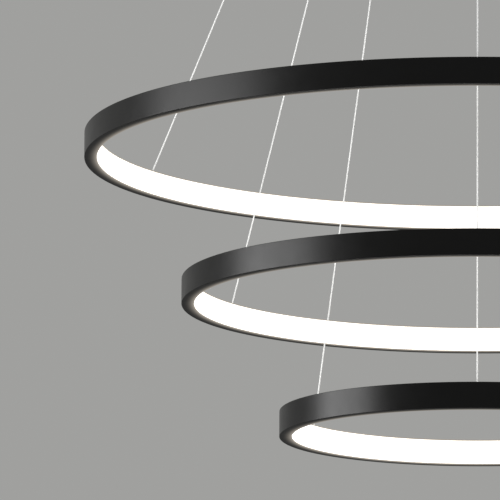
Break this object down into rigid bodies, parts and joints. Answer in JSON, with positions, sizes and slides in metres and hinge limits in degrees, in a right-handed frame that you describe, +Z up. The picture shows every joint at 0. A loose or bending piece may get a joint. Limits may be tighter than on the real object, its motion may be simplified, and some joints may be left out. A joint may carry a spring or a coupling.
{
  "type": "led ring chandelier",
  "caption": "Hanging ceiling light: level black rings of falling size, lit on their inner face, each on thin taut wires from a round canopy.",
  "frame": {"origin": "centre of the ceiling bracket's upper face, on the ceiling plane", "axes": "+Z up, -Y towards the viewer of the picture, +X to the viewer's right"},
  "size_m": [0.8, 0.8, 0.9732],
  "materials": {
    "ring_finish": "satin black powder coat",
    "canopy_finish": "satin black powder coat",
    "opal_diffuser": "opal white, lit from behind",
    "flex_board": "white solder mask",
    "led_chip": "yellow phosphor face",
    "bare_aluminium": "bare",
    "black_screw": "blackened",
    "white_plastic": "moulded",
    "nickel": "nickel plated",
    "wire_jacket": "fine steel rope in a clear jacket",
    "lead_jacket": "insulated copper",
    "supply_jacket": "insulated copper",
    "earth_jacket": "insulated copper with a tinned lug",
    "crimp_sleeve": "insulated crimp",
    "zinc_steel": "zinc plated",
    "driver_case": "moulded case"
  },
  "bodies": {
    "canopy": {"ring1_wire_front": "wire_jacket", "ring1_wire_left": "wire_jacket", "ring1_wire_right": "wire_jacket", "ring2_wire_front": "wire_jacket", "ring2_wire_left": "wire_jacket", "ring2_wire_right": "wire_jacket", "ring3_wire_front": "wire_jacket", "ring3_wire_left": "wire_jacket", "ring3_wire_right": "wire_jacket", "gripper_bodies": "nickel", "gripper_nuts": "nickel", "wire_tails": "wire_jacket", "tail_crimps": "crimp_sleeve", "output_leads": "lead_jacket", "canopy_cover": "canopy_finish", "ceiling_bracket": "zinc_steel", "cover_screws": "black_screw", "led_driver": "driver_case", "stud_nuts": "zinc_steel", "terminal_block": "white_plastic", "terminal_screws": "zinc_steel", "supply_leads": "supply_jacket", "earth_lead": "earth_jacket"},
    "ring1": {"ring1_profile": "ring_finish", "ring1_diffuser": "opal_diffuser", "ring1_led_strip": "flex_board", "ring1_led_chips": "led_chip", "ring1_splice_plates": "bare_aluminium", "ring1_splice_screws": "black_screw", "ring1_wire_bushes": "white_plastic", "ring1_wire_ends": "nickel", "ring1_leads": "lead_jacket"},
    "ring2": {"ring2_profile": "ring_finish", "ring2_diffuser": "opal_diffuser", "ring2_led_strip": "flex_board", "ring2_led_chips": "led_chip", "ring2_splice_plates": "bare_aluminium", "ring2_splice_screws": "black_screw", "ring2_wire_bushes": "white_plastic", "ring2_wire_ends": "nickel", "ring2_leads": "lead_jacket"},
    "ring3": {"ring3_profile": "ring_finish", "ring3_diffuser": "opal_diffuser", "ring3_led_strip": "flex_board", "ring3_led_chips": "led_chip", "ring3_splice_plates": "bare_aluminium", "ring3_splice_screws": "black_screw", "ring3_wire_bushes": "white_plastic", "ring3_wire_ends": "nickel", "ring3_leads": "lead_jacket"},
    "ring1_plunger_front": {"ring1_plunger_front": "nickel"},
    "ring1_plunger_left": {"ring1_plunger_left": "nickel"},
    "ring1_plunger_right": {"ring1_plunger_right": "nickel"},
    "ring2_plunger_front": {"ring2_plunger_front": "nickel"},
    "ring2_plunger_left": {"ring2_plunger_left": "nickel"},
    "ring2_plunger_right": {"ring2_plunger_right": "nickel"},
    "ring3_plunger_front": {"ring3_plunger_front": "nickel"},
    "ring3_plunger_left": {"ring3_plunger_left": "nickel"},
    "ring3_plunger_right": {"ring3_plunger_right": "nickel"}
  },
  "joints": [
    {"name": "ring1_height", "type": "slide", "parent": "canopy", "child": "ring1", "axis": [0, 0, 1], "range_m": [0, 0.3], "deforming": ["ring1_wire_front", "ring1_wire_left", "ring1_wire_right"]},
    {"name": "ring2_height", "type": "slide", "parent": "canopy", "child": "ring2", "axis": [0, 0, 1], "range_m": [0, 0.3], "deforming": ["ring2_wire_front", "ring2_wire_left", "ring2_wire_right"]},
    {"name": "ring3_height", "type": "slide", "parent": "canopy", "child": "ring3", "axis": [0, 0, 1], "range_m": [0, 0.3], "deforming": ["ring3_wire_front", "ring3_wire_left", "ring3_wire_right"]},
    {"name": "ring1_release_front", "type": "slide", "parent": "canopy", "child": "ring1_plunger_front", "axis": [0, 0, 1], "range_m": [0, 0.0025], "stiffness_N_per_m": 600, "springref_m": -0.002},
    {"name": "ring1_release_left", "type": "slide", "parent": "canopy", "child": "ring1_plunger_left", "axis": [0, 0, 1], "range_m": [0, 0.0025], "stiffness_N_per_m": 600, "springref_m": -0.002},
    {"name": "ring1_release_right", "type": "slide", "parent": "canopy", "child": "ring1_plunger_right", "axis": [0, 0, 1], "range_m": [0, 0.0025], "stiffness_N_per_m": 600, "springref_m": -0.002},
    {"name": "ring2_release_front", "type": "slide", "parent": "canopy", "child": "ring2_plunger_front", "axis": [0, 0, 1], "range_m": [0, 0.0025], "stiffness_N_per_m": 600, "springref_m": -0.002},
    {"name": "ring2_release_left", "type": "slide", "parent": "canopy", "child": "ring2_plunger_left", "axis": [0, 0, 1], "range_m": [0, 0.0025], "stiffness_N_per_m": 600, "springref_m": -0.002},
    {"name": "ring2_release_right", "type": "slide", "parent": "canopy", "child": "ring2_plunger_right", "axis": [0, 0, 1], "range_m": [0, 0.0025], "stiffness_N_per_m": 600, "springref_m": -0.002},
    {"name": "ring3_release_front", "type": "slide", "parent": "canopy", "child": "ring3_plunger_front", "axis": [0, 0, 1], "range_m": [0, 0.0025], "stiffness_N_per_m": 600, "springref_m": -0.002},
    {"name": "ring3_release_left", "type": "slide", "parent": "canopy", "child": "ring3_plunger_left", "axis": [0, 0, 1], "range_m": [0, 0.0025], "stiffness_N_per_m": 600, "springref_m": -0.002},
    {"name": "ring3_release_right", "type": "slide", "parent": "canopy", "child": "ring3_plunger_right", "axis": [0, 0, 1], "range_m": [0, 0.0025], "stiffness_N_per_m": 600, "springref_m": -0.002}
  ]
}
